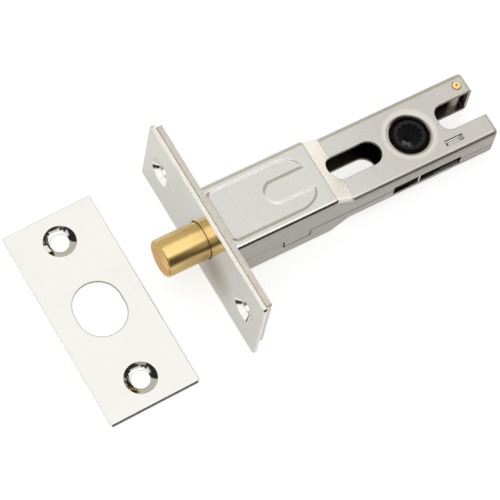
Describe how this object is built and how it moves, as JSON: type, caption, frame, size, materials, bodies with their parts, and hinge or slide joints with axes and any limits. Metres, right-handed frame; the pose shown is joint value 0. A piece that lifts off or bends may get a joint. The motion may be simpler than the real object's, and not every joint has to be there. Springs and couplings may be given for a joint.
{
  "type": "privacy bolt",
  "caption": "Tubular privacy bolt: a round brass bolt slides out of a faceplate on a stepped two-shell case, turned by a splined plastic follower, with its loose strike plate.",
  "frame": {"origin": "on the bolt's axis at the front face of the faceplate", "axes": "+X back into the door along the bolt, +Y along the faceplate's long side, +Z along the follower's turning axis, out of the case's upper wide face"},
  "size_m": [0.1211, 0.057, 0.0286],
  "materials": {
    "polished_nickel": "polished nickel plate",
    "sheared_zinc": "zinc plated, sheared edges",
    "satin_nickel": "satin nickel plate on pressed steel",
    "brass": "turned brass",
    "black_nylon": "moulded black nylon",
    "white_nylon": "moulded nylon",
    "spring_steel": "blued spring strip",
    "plain_steel": "bright zinc plated steel"
  },
  "bodies": {
    "case": {"faceplate": "polished_nickel", "fixing_plate": "sheared_zinc", "upper_shell": "satin_nickel", "lower_shell": "satin_nickel", "bolt_guide": "white_nylon", "detent_spring": "spring_steel", "rear_spacer": "plain_steel", "rear_rivet": "brass", "strike_plate": "polished_nickel"},
    "bolt_group": {"bolt": "brass", "tail_slide": "plain_steel", "tail_pin_front": "plain_steel", "tail_pin_rear": "plain_steel"},
    "follower": {"follower": "black_nylon"}
  },
  "joints": [
    {"name": "bolt_slide", "type": "slide", "parent": "case", "child": "bolt_group", "axis": [1, 0, 0], "range_m": [0, 0.0118]},
    {"name": "follower_turn", "type": "hinge", "parent": "case", "child": "follower", "pos_m": [0.06, 0, 0], "axis": [0, 0, 1], "range_deg": [0, 90]}
  ],
  "couplings": [
    {"joint": "follower_turn", "follows": "bolt_slide", "rad_per_m": 133.12}
  ]
}
